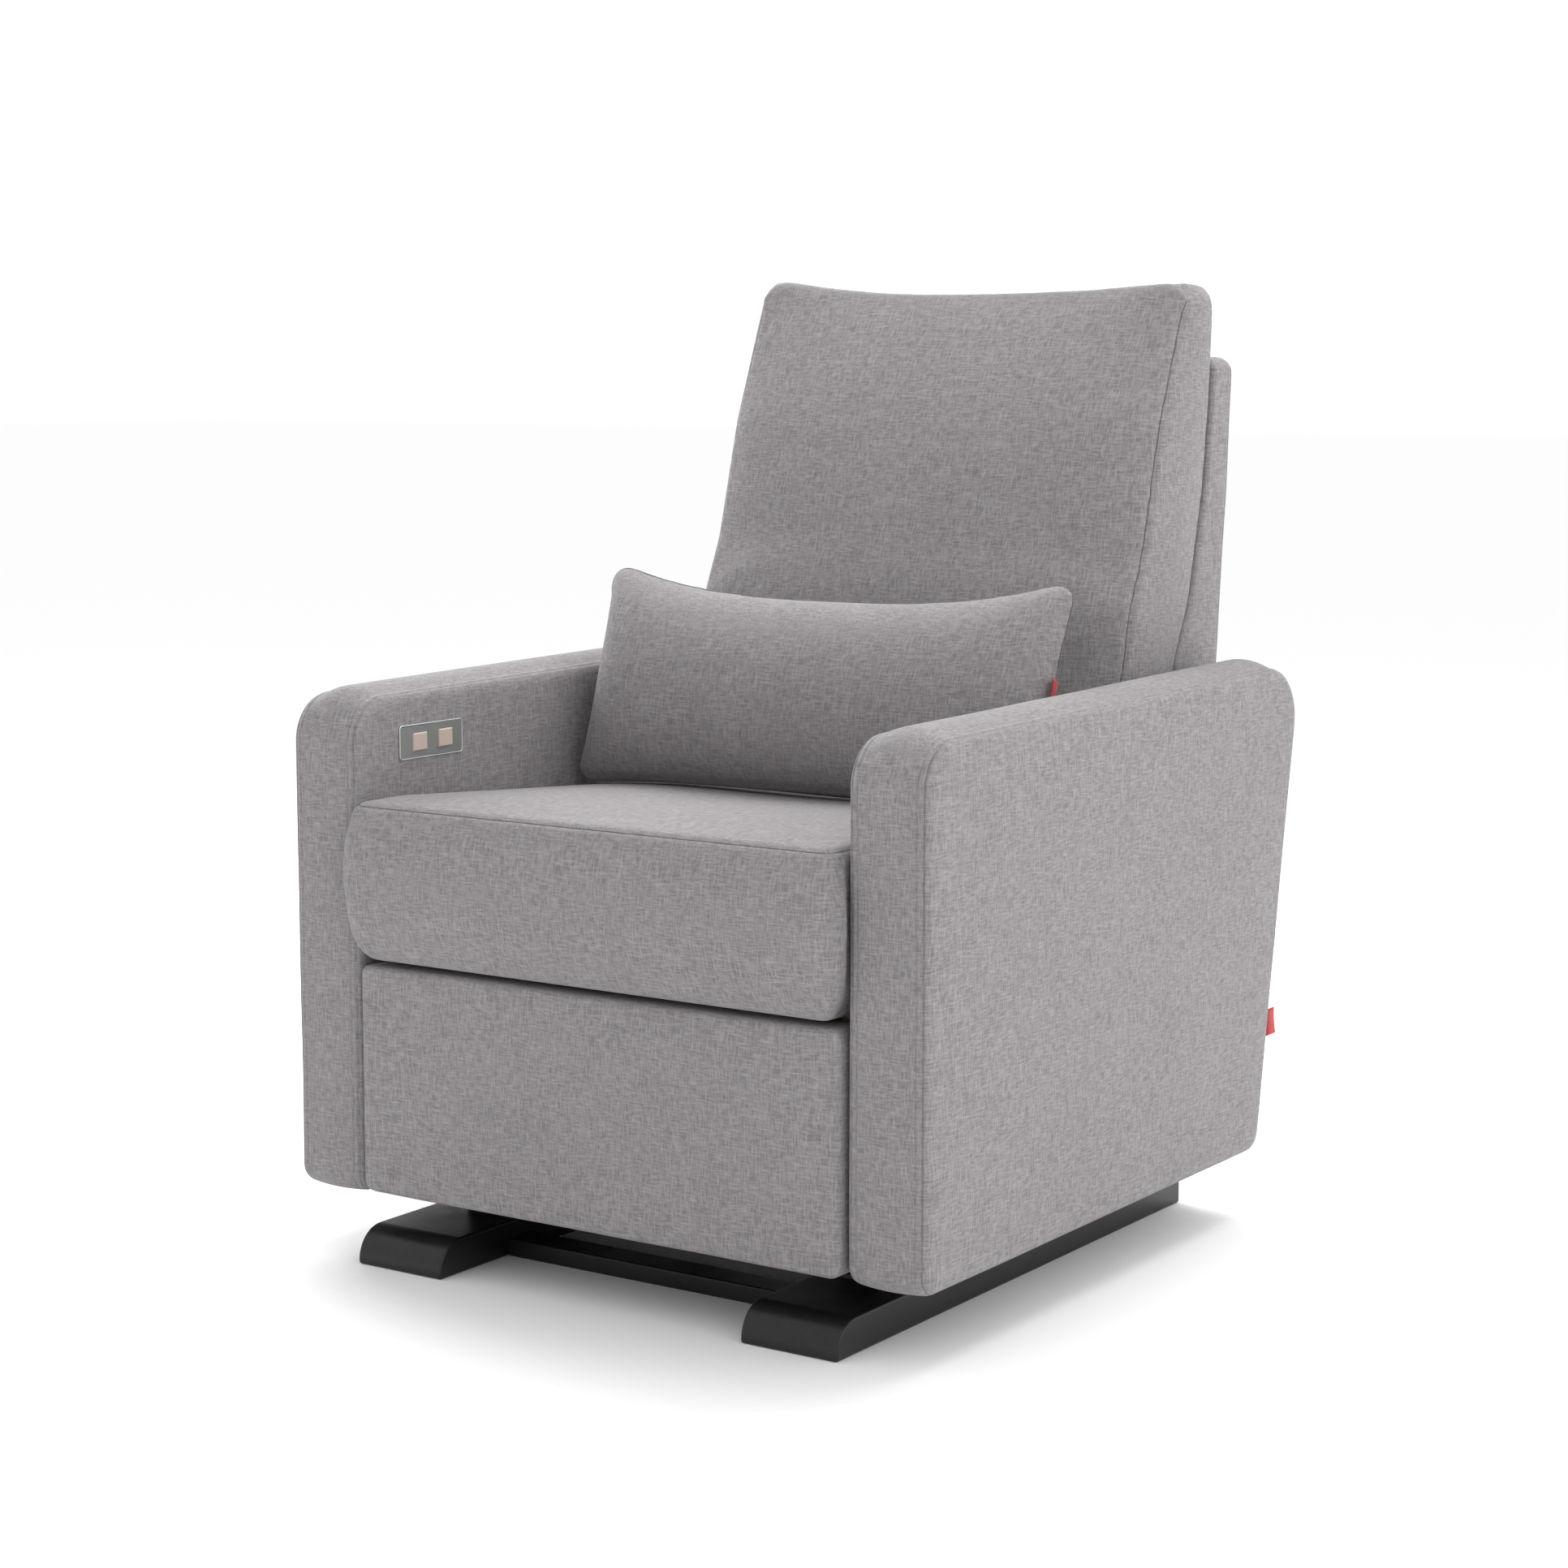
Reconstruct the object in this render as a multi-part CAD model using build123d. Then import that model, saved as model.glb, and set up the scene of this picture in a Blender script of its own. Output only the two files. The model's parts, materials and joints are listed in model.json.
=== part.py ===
from build123d import *
import os
from math import atan2, cos, degrees, hypot, radians, sin

# Glider nursery chair. Millimetres, +Z up, -Y the front, +X the sitter's left.
# Outlines are (depth, height) pairs: depth is measured back from the arms' front faces.

# ---- overall --------------------------------------------------------------------------
FRONT_Y = -401.0            # Y of the arms' front faces: puts the origin mid-depth
ARM_OUT = 395.0             # outer face of each arm, from the middle
ARM_IN = 303.0              # inner face of each arm
ARM_SKIN = 14.0             # padding and board of each arm face
ARM_FLOOR = 71.5            # underside of the arms
ARM_FRONT_TOP = 609.0
ARM_REAR_TOP = 622.4
ARM_REAR_FOOT = 713.0       # depth of the arms' rear edge at its foot
ARM_REAR_HEAD = 803.0       # and at its top
ARM_RADII = (18.0, 50.0, 60.0, 25.0)

# ---- base -----------------------------------------------------------------------------
RUNNER_IN = 190.0
RUNNER_OUT = 303.0
RUNNER_FRONT = -11.0
RUNNER_REAR = 700.0
RUNNER_TOP = 38.0
RUNNER_NOSE = 34.0
FRONT_BAR = (101.0, 140.0, 19.0)     # depth from, depth to, height
REAR_BAR = (630.0, 670.0, 30.0)
BRACKET_X = (260.0, 266.0)
BRACKET_HALF = 25.0
FOOT_INNER = 215.0
FOOT_PLATE = 4.0

# ---- glide linkage --------------------------------------------------------------------
GLIDE_DEPTHS = (150.0, 550.0)
GLIDE_TOP = 235.0
GLIDE_LOW = 95.0
LINK_X = (272.0, 278.0)
LINK_HALF = 15.0
PIN_R = 6.0
RUNNING = 0.05              # radial clearance of a pin in its eye

# ---- seat frame -----------------------------------------------------------------------
PLATE_X = (284.0, 289.0)
DECK = (303.0, 323.0)       # under and top of the seat rails
STRAP = 2.0
SIDE_RAIL_IN = 262.0
CUSHION_HALF = 300.0
CUSHION_FRONT = -32.0
CUSHION_REAR = 520.0
CUSHION_UNDER = 325.5
SKIRT_BAND = (80.0, 298.0)
SKIRT_HALF = 301.0
SKIRT_THICK = 16.0

# ---- footrest linkage -----------------------------------------------------------------
TUBE_AT = (120.0, 285.0)    # torque tube, the main arms' pivot
TUBE_R = 12.5
KNEE_AT = (238.0, 123.0)    # far end of the main arms
PANEL_PIVOT = (60.0, 215.0)
FOLLOWER_SHIFT = (55.0, -25.0)
FOLLOWER_X = (232.0, 238.0)
CARRIER_X = (240.0, 246.0)
MAIN_ARM_X = (248.0, 254.0)
HANGER_X = (222.0, 228.0)
FOOT_LINK_HALF = 12.0
FOOT_PIN_R = 5.0
PANEL_HALF = 300.0
PANEL_BAND = (78.0, 321.0)
PANEL_DEPTHS = (-5.0, 27.0, 45.0)    # pad face, board face, board back
PANEL_CORNER = 12.0
CRANK = (55.0, -20.0)       # length and rest angle

# ---- drive ----------------------------------------------------------------------------
DRIVE_HALF = 18.0
DRIVE_Z = (205.0, 235.0)
DRIVE_DEPTHS = (196.0, 560.0)
SLIDER_DEPTHS = (470.0, 515.0)

# ---- control plate --------------------------------------------------------------------
CONTROL_AT = (117.5, 547.0)
CONTROL_SIZE = (101.0, 34.0)
CONTROL_THICK = 2.0
CONTROL_DEPTH = 38.0        # how far its housing reaches into the arm
HOUSING_WALL = 2.0
BUTTON_DEPTHS = (97.0, 138.5)
BUTTON_SIZE = (22.0, 19.0)
BUTTON_PROUD = 3.0
BUTTON_GAP = 0.4

# ---- back -----------------------------------------------------------------------------
BACK_PIVOT = (700.0, 318.0)
BACK_HALF = 290.0
BACK_SKIN = 8.0
BACK_FOOT = 335.0
BACK_TOP = 953.0
STILE_X = (240.0, 270.0)
HINGE_X = (270.0, 276.0)
STILE_FRONT = ((695.0, 345.0), (790.0, 940.0))
STILE_REAR = ((725.0, 345.0), (818.0, 940.0))
BACK_REAR = ((762.0, BACK_FOOT), (808.0, 611.0), (818.0, 724.0), (827.0, 806.0), (834.0, 935.0))
CUSHION_BACK = ((668.0, 480.0), (697.0, 611.0), (734.0, 683.0), (749.0, 743.0), (765.0, 807.0),
                (779.0, 917.0))
CUSHION_FACE = ((530.0, 360.0), (523.0, 480.0), (578.0, 611.0), (598.0, 683.0), (625.0, 743.0),
                (662.0, 882.0), (708.0, 1000.0))
BACK_CUSHION_TOP = 1040.0

# ---- lumbar pillow --------------------------------------------------------------------
PILLOW_SIZE = (570.0, 120.0, 236.0)
PILLOW_MID = (-10.0, 418.0, 608.0)   # X, depth and height of its middle
PILLOW_LEAN = 18.3


# ---- helpers --------------------------------------------------------------------------
def at(depth):
    """Y of a point that lies a given depth behind the arms' front faces."""
    return FRONT_Y + depth


def outline(corners):
    """Flat face from corners (a, b) or (a, b, radius)."""
    face = Polygon(*[(c[0], c[1]) for c in corners], align=None)
    for corner in corners:
        if len(corner) == 3 and corner[2] > 0:
            vertex = face.vertices().sort_by_distance((corner[0], corner[1], 0))[0]
            face = fillet(vertex, radius=corner[2])
    return face


def prism(corners, x0, x1):
    """Solid with a (depth, height) outline that runs along X from x0 to x1."""
    moved = [(at(c[0]), *c[1:]) for c in corners]
    return Pos(x0, 0, 0) * extrude(Plane.YZ * outline(moved), amount=x1 - x0, dir=(1, 0, 0))


def slab(corners, d0, d1):
    """Solid with an (X, height) outline that runs back from depth d0 to d1."""
    face = Plane.XZ * outline(corners)
    return Pos(0, at(d0), 0) * extrude(face, amount=d1 - d0, dir=(0, 1, 0))


def block(x0, x1, d0, d1, z0, z1):
    """Box between two X values, two depths and two heights."""
    size = Box(x1 - x0, d1 - d0, z1 - z0)
    return Pos((x0 + x1) / 2, at((d0 + d1) / 2), (z0 + z1) / 2) * size


def pin(spot, radius, x0, x1):
    """Round bar along X at a (depth, height) spot."""
    bar = Rot(0, 90, 0) * Cylinder(radius, x1 - x0)
    return Pos((x0 + x1) / 2, at(spot[0]), spot[1]) * bar


def bar_link(start, end, half, x_pair, start_hole, end_hole):
    """Flat bar with round ends and an eye at each end."""
    length = hypot(end[0] - start[0], end[1] - start[1])
    turn = degrees(atan2(end[1] - start[1], end[0] - start[0]))
    face = SlotCenterToCenter(length, 2 * half)
    face -= Pos(-length / 2, 0) * Circle(start_hole)
    face -= Pos(length / 2, 0) * Circle(end_hole)
    middle = Pos(at((start[0] + end[0]) / 2), (start[1] + end[1]) / 2)
    face = Plane.YZ * (middle * Rot(0, 0, turn) * face)
    return Pos(x_pair[0], 0, 0) * extrude(face, amount=x_pair[1] - x_pair[0], dir=(1, 0, 0))


def other_side(shape):
    """The same piece on the sitter's right."""
    return mirror(shape, about=Plane.YZ)


def both_sides(*pieces):
    """A piece, or several, with their twins on the other side."""
    solids = []
    for piece in pieces:
        solids += [piece, other_side(piece)]
    return group(solids)


def group(solids):
    """Separate solids kept together in one node."""
    return Compound(children=[s.solid() for s in solids])


def shifted(spot, offset):
    return (spot[0] + offset[0], spot[1] + offset[1])


def line_depth(line, height):
    """Depth of a straight line, given by two (depth, height) ends, at a height."""
    (d0, z0), (d1, z1) = line
    return d0 + (d1 - d0) * (height - z0) / (z1 - z0)


# ---- base -----------------------------------------------------------------------------
def runner():
    corners = [
        (RUNNER_FRONT, 0, 3),
        (RUNNER_FRONT, RUNNER_TOP, RUNNER_NOSE),
        (RUNNER_REAR, RUNNER_TOP, 6),
        (RUNNER_REAR, 0, 3),
    ]
    solid = prism(corners, RUNNER_IN, RUNNER_OUT)
    long_edges = solid.edges().filter_by(Axis.Y).group_by(Axis.Z)[-1]
    return fillet(long_edges, radius=3)


def stretcher(bar):
    solid = block(-RUNNER_IN, RUNNER_IN, bar[0], bar[1], 0, bar[2])
    return fillet(solid.edges().filter_by(Axis.X), radius=2)


def base_brackets():
    solids = []
    for depth in GLIDE_DEPTHS:
        d0 = depth - BRACKET_HALF
        d1 = depth + BRACKET_HALF
        top = GLIDE_TOP + BRACKET_HALF - 5
        foot = RUNNER_TOP + FOOT_PLATE
        corners = [(d0, foot), (d1, foot), (d1, top, 20), (d0, top, 20)]
        upright = prism(corners, *BRACKET_X) - pin((depth, GLIDE_TOP), PIN_R, *BRACKET_X)
        solids.append(upright)
        solids.append(block(FOOT_INNER, BRACKET_X[1], d0, d1, RUNNER_TOP, foot))
    return solids


def glide_top_pins():
    pins = [pin((d, GLIDE_TOP), PIN_R, BRACKET_X[0] - 2, LINK_X[1] + 2) for d in GLIDE_DEPTHS]
    return both_sides(*pins)


def glide_link(depth):
    eye = PIN_R + RUNNING
    return bar_link((depth, GLIDE_TOP), (depth, GLIDE_LOW), LINK_HALF, LINK_X, eye, eye)


# ---- seat frame -----------------------------------------------------------------------
def mechanism_plate():
    corners = [
        (100, 76, 20),
        (600, 76, 40),
        (680, 130, 30),
        (724, 290, 20),
        (720, 338, 18),
        (676, 338, 18),
        (655, DECK[1], 8),
        (85, DECK[1], 10),
        (85, 230, 30),
    ]
    plate = prism(corners, *PLATE_X)
    for depth in GLIDE_DEPTHS:
        plate -= pin((depth, GLIDE_LOW), PIN_R, *PLATE_X)
    plate -= pin(TUBE_AT, TUBE_R + RUNNING, *PLATE_X)
    plate -= pin(BACK_PIVOT, PIN_R, *PLATE_X)
    plate -= pin((650, 150), TUBE_R, *PLATE_X)
    return plate


def carriage_pins():
    """Lower glide pins, the back's hinge pins and the follower arms' pins."""
    pins = [pin((d, GLIDE_LOW), PIN_R, LINK_X[0] - 3, PLATE_X[1] + 2) for d in GLIDE_DEPTHS]
    pins.append(pin(BACK_PIVOT, PIN_R, HINGE_X[0] - 2, PLATE_X[1] + 2))
    pins.append(pin(shifted(TUBE_AT, FOLLOWER_SHIFT), FOOT_PIN_R, HANGER_X[0] - 2, FOLLOWER_X[1] + 1))
    return both_sides(*pins)


def cross_rail():
    """Steel cross rail under the deck, with the two plates that carry the follower arms."""
    pivot = shifted(TUBE_AT, FOLLOWER_SHIFT)
    rail = block(-SIDE_RAIL_IN, SIDE_RAIL_IN, 160, 190, *DECK)
    corners = [(158, 246, 12), (192, 246, 12), (192, DECK[0]), (158, DECK[0])]
    hanger = prism(corners, *HANGER_X) - pin(pivot, FOOT_PIN_R, *HANGER_X)
    return group([rail, hanger, other_side(hanger)])


def rear_cross_tube():
    return pin((650, 150), TUBE_R, -PLATE_X[1], PLATE_X[1])


def seat_side_rails():
    return both_sides(block(SIDE_RAIL_IN, PLATE_X[0], 58, 640, *DECK))


def seat_rail(d0, d1):
    return block(-SIDE_RAIL_IN, SIDE_RAIL_IN, d0, d1, *DECK)


def seat_webbing():
    straps = [
        block(x - 25, x + 25, 62, 636, DECK[1], DECK[1] + STRAP)
        for x in (-200, -100, 0, 100, 200)
    ]
    return group(straps)


def seat_cushion():
    corners = [
        (CUSHION_FRONT, CUSHION_UNDER, 18),
        (CUSHION_FRONT, 504, 34),
        (CUSHION_REAR, 480, 15),
        (CUSHION_REAR, CUSHION_UNDER, 8),
    ]
    return prism(corners, -CUSHION_HALF, CUSHION_HALF)


def arm_corners(inset=0.0):
    """Side outline of an arm, shrunk all round by inset."""
    slope = (ARM_REAR_HEAD - ARM_REAR_FOOT) / (ARM_REAR_TOP - ARM_FLOOR)
    rise = (ARM_REAR_TOP - ARM_FRONT_TOP) / ARM_REAR_HEAD
    foot = ARM_FLOOR + inset
    front = inset
    rear_shift = inset * hypot(1, slope)
    front_top = ARM_FRONT_TOP + rise * front - inset
    rear_top = ARM_REAR_TOP - inset
    radii = [max(r - inset, 4) for r in ARM_RADII]
    return [
        (front, foot, radii[0]),
        (front, front_top, radii[1]),
        (ARM_REAR_HEAD - slope * inset - rear_shift, rear_top, radii[2]),
        (ARM_REAR_FOOT + slope * inset - rear_shift, foot, radii[3]),
    ]


def arm_outer_panel():
    panel = prism(arm_corners(), ARM_OUT - ARM_SKIN, ARM_OUT)
    return fillet(panel.faces().sort_by(Axis.X)[-1].edges(), radius=5)


def arm_inner_panel():
    panel = prism(arm_corners(), ARM_IN, ARM_IN + ARM_SKIN)
    return fillet(panel.faces().sort_by(Axis.X)[0].edges(), radius=5)


def arm_band():
    outer = prism(arm_corners(), ARM_IN + ARM_SKIN, ARM_OUT - ARM_SKIN)
    return outer - prism(arm_corners(ARM_SKIN), ARM_IN + ARM_SKIN, ARM_OUT - ARM_SKIN)


def arm_frame():
    """Front post, rear post, top rail and bottom rail inside the padding."""
    x0 = ARM_IN + ARM_SKIN
    x1 = ARM_OUT - ARM_SKIN
    inside = prism(arm_corners(ARM_SKIN), x0, x1)
    front = inside & block(x0, x1, 0, 59, 0, 700)
    slant = [(640, 0), (760, 0), (860, 622), (730, 622)]
    rear = inside & prism(slant, x0, x1)
    middle = inside - front - rear
    top = middle & block(x0, x1, 0, 900, 574, 700)
    bottom = middle & block(x0, x1, 0, 900, 0, 130)
    return group([front, rear, top, bottom])


def arm_mount_blocks():
    blocks = [block(PLATE_X[1], ARM_IN, d, d + 60, 200, 290) for d in (190, 560)]
    return both_sides(*blocks)


def rear_skirt():
    slope = (ARM_REAR_HEAD - ARM_REAR_FOOT) / (ARM_REAR_TOP - ARM_FLOOR)
    low, high = SKIRT_BAND
    rear_low = ARM_REAR_FOOT + slope * (low - ARM_FLOOR)
    rear_high = ARM_REAR_FOOT + slope * (high - ARM_FLOOR)
    corners = [
        (rear_low - SKIRT_THICK, low),
        (rear_low, low, 6),
        (rear_high, high, 6),
        (rear_high - SKIRT_THICK, high),
    ]
    return prism(corners, -SKIRT_HALF, SKIRT_HALF)


def arm_tag():
    """Small cloth label that stands out of the rear seam of the sitter's left arm."""
    slope = (ARM_REAR_HEAD - ARM_REAR_FOOT) / (ARM_REAR_TOP - ARM_FLOOR)
    low, high = 196, 226
    corners = [
        (ARM_REAR_FOOT + slope * (low - ARM_FLOOR), low),
        (758, low),
        (760, high),
        (ARM_REAR_FOOT + slope * (high - ARM_FLOOR), high),
    ]
    return prism(corners, 387.4, 388.6)


# ---- control --------------------------------------------------------------------------
def on_control(solid):
    """Turn a piece of the control to the slope of the arm."""
    rise = degrees(atan2(ARM_REAR_TOP - ARM_FRONT_TOP, ARM_REAR_HEAD))
    middle = Pos(0, at(CONTROL_AT[0]), CONTROL_AT[1])
    return middle * Rot(rise, 0, 0) * middle.inverse() * solid


def control_box_shape(margin, x0, x1):
    half_d = CONTROL_SIZE[0] / 2 - margin
    half_z = CONTROL_SIZE[1] / 2 - margin
    d, z = CONTROL_AT
    return block(x0, x1, d - half_d, d + half_d, z - half_z, z + half_z)


def button_block(depth, grow, x0, x1):
    half_d = BUTTON_SIZE[0] / 2 + grow
    half_z = BUTTON_SIZE[1] / 2 + grow
    return block(x0, x1, depth - half_d, depth + half_d, CONTROL_AT[1] - half_z, CONTROL_AT[1] + half_z)


def control_plate():
    plate = control_box_shape(0, -ARM_IN, -ARM_IN + CONTROL_THICK)
    plate = fillet(plate.edges().filter_by(Axis.X), radius=3)
    for depth in BUTTON_DEPTHS:
        plate -= button_block(depth, BUTTON_GAP, -ARM_IN, -ARM_IN + CONTROL_THICK)
    return on_control(plate)


def control_housing():
    margin = 4
    shell = control_box_shape(margin, -ARM_IN - CONTROL_DEPTH, -ARM_IN)
    shell -= control_box_shape(margin + HOUSING_WALL, -ARM_IN - CONTROL_DEPTH + HOUSING_WALL, -ARM_IN)
    return on_control(shell)


def control_button(depth):
    face_x = -ARM_IN + CONTROL_THICK + BUTTON_PROUD
    cap = button_block(depth, 0, -ARM_IN - 8, face_x)
    rim = cap.faces().sort_by(Axis.X)[-1].edges()
    return on_control(fillet(rim, radius=1.5))


# ---- drive ----------------------------------------------------------------------------
def drive_rail():
    rail = block(-DRIVE_HALF, DRIVE_HALF, *DRIVE_DEPTHS, *DRIVE_Z)
    hanger = block(-DRIVE_HALF, DRIVE_HALF, 190, DRIVE_DEPTHS[0], DRIVE_Z[0], DECK[1])
    return group([rail, hanger])


def drive_motor():
    body = block(-40, 40, DRIVE_DEPTHS[1], 655, 182, 262)
    body = fillet(body.edges().filter_by(Axis.Y), radius=14)
    hanger = block(-16, 16, 606, 630, 262, DECK[0])
    return group([body, hanger])


def drive_slider():
    return block(-30, 30, *SLIDER_DEPTHS, DRIVE_Z[1] + 0.4, DRIVE_Z[1] + 27)


def control_box():
    """Power supply and control electronics, with the inlet in its rear face."""
    body = block(90, 190, 595, 655, 262, DECK[0])
    return body - block(128, 152, 645, 655, 272, 290)


# ---- footrest -------------------------------------------------------------------------
def footrest_arm():
    return bar_link(TUBE_AT, KNEE_AT, FOOT_LINK_HALF + 4, MAIN_ARM_X, TUBE_R, FOOT_PIN_R + RUNNING)


def torque_tube():
    """Tube that turns with the main arms, and the crank that the drive pushes."""
    tube = pin(TUBE_AT, TUBE_R, -PLATE_X[1], PLATE_X[1])
    length, angle = CRANK
    tip = (TUBE_AT[0] + length * cos(radians(angle)), TUBE_AT[1] + length * sin(radians(angle)))
    crank = bar_link(TUBE_AT, tip, 16, (-5, 5), TUBE_R, FOOT_PIN_R)
    return group([tube, crank])


def follower_arm():
    start = shifted(TUBE_AT, FOLLOWER_SHIFT)
    end = shifted(KNEE_AT, FOLLOWER_SHIFT)
    eye = FOOT_PIN_R + RUNNING
    return bar_link(start, end, FOOT_LINK_HALF, FOLLOWER_X, eye, eye)


def footrest_carrier():
    """Bent plate that joins both arms' far ends to the panel's hinge."""
    heel = shifted(KNEE_AT, FOLLOWER_SHIFT)
    eye = FOOT_PIN_R + RUNNING
    long_leg = bar_link(PANEL_PIVOT, KNEE_AT, FOOT_LINK_HALF, CARRIER_X, eye, FOOT_PIN_R)
    heel_leg = bar_link(KNEE_AT, heel, FOOT_LINK_HALF, CARRIER_X, FOOT_PIN_R, FOOT_PIN_R)
    plate = long_leg + heel_leg
    for spot, radius in ((KNEE_AT, FOOT_PIN_R), (heel, FOOT_PIN_R)):
        plate -= pin(spot, radius, *CARRIER_X)
    return plate


def footrest_pins():
    heel = shifted(KNEE_AT, FOLLOWER_SHIFT)
    knee_pin = pin(KNEE_AT, FOOT_PIN_R, CARRIER_X[0] - 0.8, MAIN_ARM_X[1] + 1)
    heel_pin = pin(heel, FOOT_PIN_R, FOLLOWER_X[0] - 1, CARRIER_X[1] + 0.8)
    return both_sides(knee_pin, heel_pin)


def footrest_board():
    low, high = PANEL_BAND
    corners = [(-PANEL_HALF + 4, low + 3, PANEL_CORNER), (PANEL_HALF - 4, low + 3, PANEL_CORNER),
               (PANEL_HALF - 4, high - 3, 6), (-PANEL_HALF + 4, high - 3, 6)]
    return slab(corners, PANEL_DEPTHS[1], PANEL_DEPTHS[2])


def footrest_pad():
    low, high = PANEL_BAND
    corners = [(-PANEL_HALF, low, PANEL_CORNER), (PANEL_HALF, low, PANEL_CORNER),
               (PANEL_HALF, high, 8), (-PANEL_HALF, high, 8)]
    pad = slab(corners, PANEL_DEPTHS[0], PANEL_DEPTHS[1])
    return fillet(pad.faces().sort_by(Axis.Y)[0].edges(), radius=6)


def footrest_hinges():
    """Lugs on the panel's back and the pins they carry."""
    d, z = PANEL_PIVOT
    back = PANEL_DEPTHS[2]
    corners = [(back, z - 30), (d + 12, z - 12, 11), (d + 12, z + 12, 11), (back, z + 30)]
    lug = prism(corners, *MAIN_ARM_X) - pin(PANEL_PIVOT, FOOT_PIN_R, *MAIN_ARM_X)
    hinge_pin = pin(PANEL_PIVOT, FOOT_PIN_R, CARRIER_X[0] - 1, MAIN_ARM_X[1] + 1)
    return both_sides(lug, hinge_pin)


# ---- back -----------------------------------------------------------------------------
def back_stiles():
    corners = [STILE_FRONT[0], STILE_REAR[0], STILE_REAR[1], STILE_FRONT[1]]
    return both_sides(prism(corners, *STILE_X))


def back_rails():
    rails = []
    for low in (350, 600, 898):
        high = low + 40
        front = line_depth(STILE_FRONT, high) + 1
        rails.append(block(-STILE_X[0], STILE_X[0], front, front + 20, low, high))
    return group(rails)


def back_webbing():
    straps = []
    for low in (420, 520, 680, 780):
        high = low + 50
        near = line_depth(STILE_FRONT, low)
        far = line_depth(STILE_FRONT, high)
        corners = [(near - STRAP, low), (near, low), (far, high), (far - STRAP, high)]
        straps.append(prism(corners, -STILE_X[1], STILE_X[1]))
    return group(straps)


def outer_back_panel():
    rear = [(d, z, 0) for d, z in BACK_REAR]
    rear.append((BACK_REAR[-1][0], BACK_TOP, 16))
    inner = [(d - BACK_SKIN, z) for d, z in reversed(BACK_REAR)]
    corners = [*rear, (782, BACK_TOP, 2), (782, BACK_TOP - BACK_SKIN)]
    corners.append((BACK_REAR[-1][0] - BACK_SKIN, BACK_TOP - BACK_SKIN, 8))
    corners += inner
    return prism(corners, -BACK_HALF, BACK_HALF)


def back_side_panels():
    """Padded sides between the outer back and the cushion."""
    rear = [(d - BACK_SKIN, z) for d, z in BACK_REAR]
    rear.append((BACK_REAR[-1][0] - BACK_SKIN, BACK_TOP - BACK_SKIN, 9))
    front = [(782, BACK_TOP - BACK_SKIN), *reversed(CUSHION_BACK), (668, 380), (690, 362)]
    side = prism([*rear, *front], BACK_HALF - BACK_SKIN, BACK_HALF)
    return both_sides(side)


def back_tail_flap():
    """Dark cloth that closes the gap between the back's foot and the rear skirt."""
    return prism([(726, 352), (728, 352), (724, 275), (722, 275)], -236, 236)


def back_hinges():
    d, z = BACK_PIVOT
    corners = [(d - 18, z - 18, 17), (d + 18, z - 18, 17), (742, 430, 8), (712, 430, 8)]
    plate = prism(corners, *HINGE_X) - pin(BACK_PIVOT, PIN_R + RUNNING, *HINGE_X)
    return both_sides(plate)


def back_cushion():
    gap = 0.6
    face = [(d, z) for d, z in CUSHION_FACE]
    face[0] = (*CUSHION_FACE[0], 15)
    rear = [(d - gap, z) for d, z in reversed(CUSHION_BACK)]
    corners = [
        *face,
        (728, BACK_CUSHION_TOP, 22),
        (781, BACK_CUSHION_TOP - 6, 24),
        (781, 960),
        *rear,
        (668 - gap, 375, 12),
    ]
    return prism(corners, -BACK_HALF, BACK_HALF)


# ---- lumbar pillow --------------------------------------------------------------------
def on_pillow(solid):
    x, depth, height = PILLOW_MID
    return Pos(x, at(depth), height) * Rot(-PILLOW_LEAN, 0, 0) * solid


def lumbar_pillow():
    body = Box(*PILLOW_SIZE)
    body = fillet(body.edges().filter_by(Axis.X), radius=50)
    return on_pillow(body)


def pillow_tag():
    half = PILLOW_SIZE[0] / 2
    label = Pos(half + 6, 0, -60) * Box(12, 1.2, 24)
    return on_pillow(label)


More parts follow.
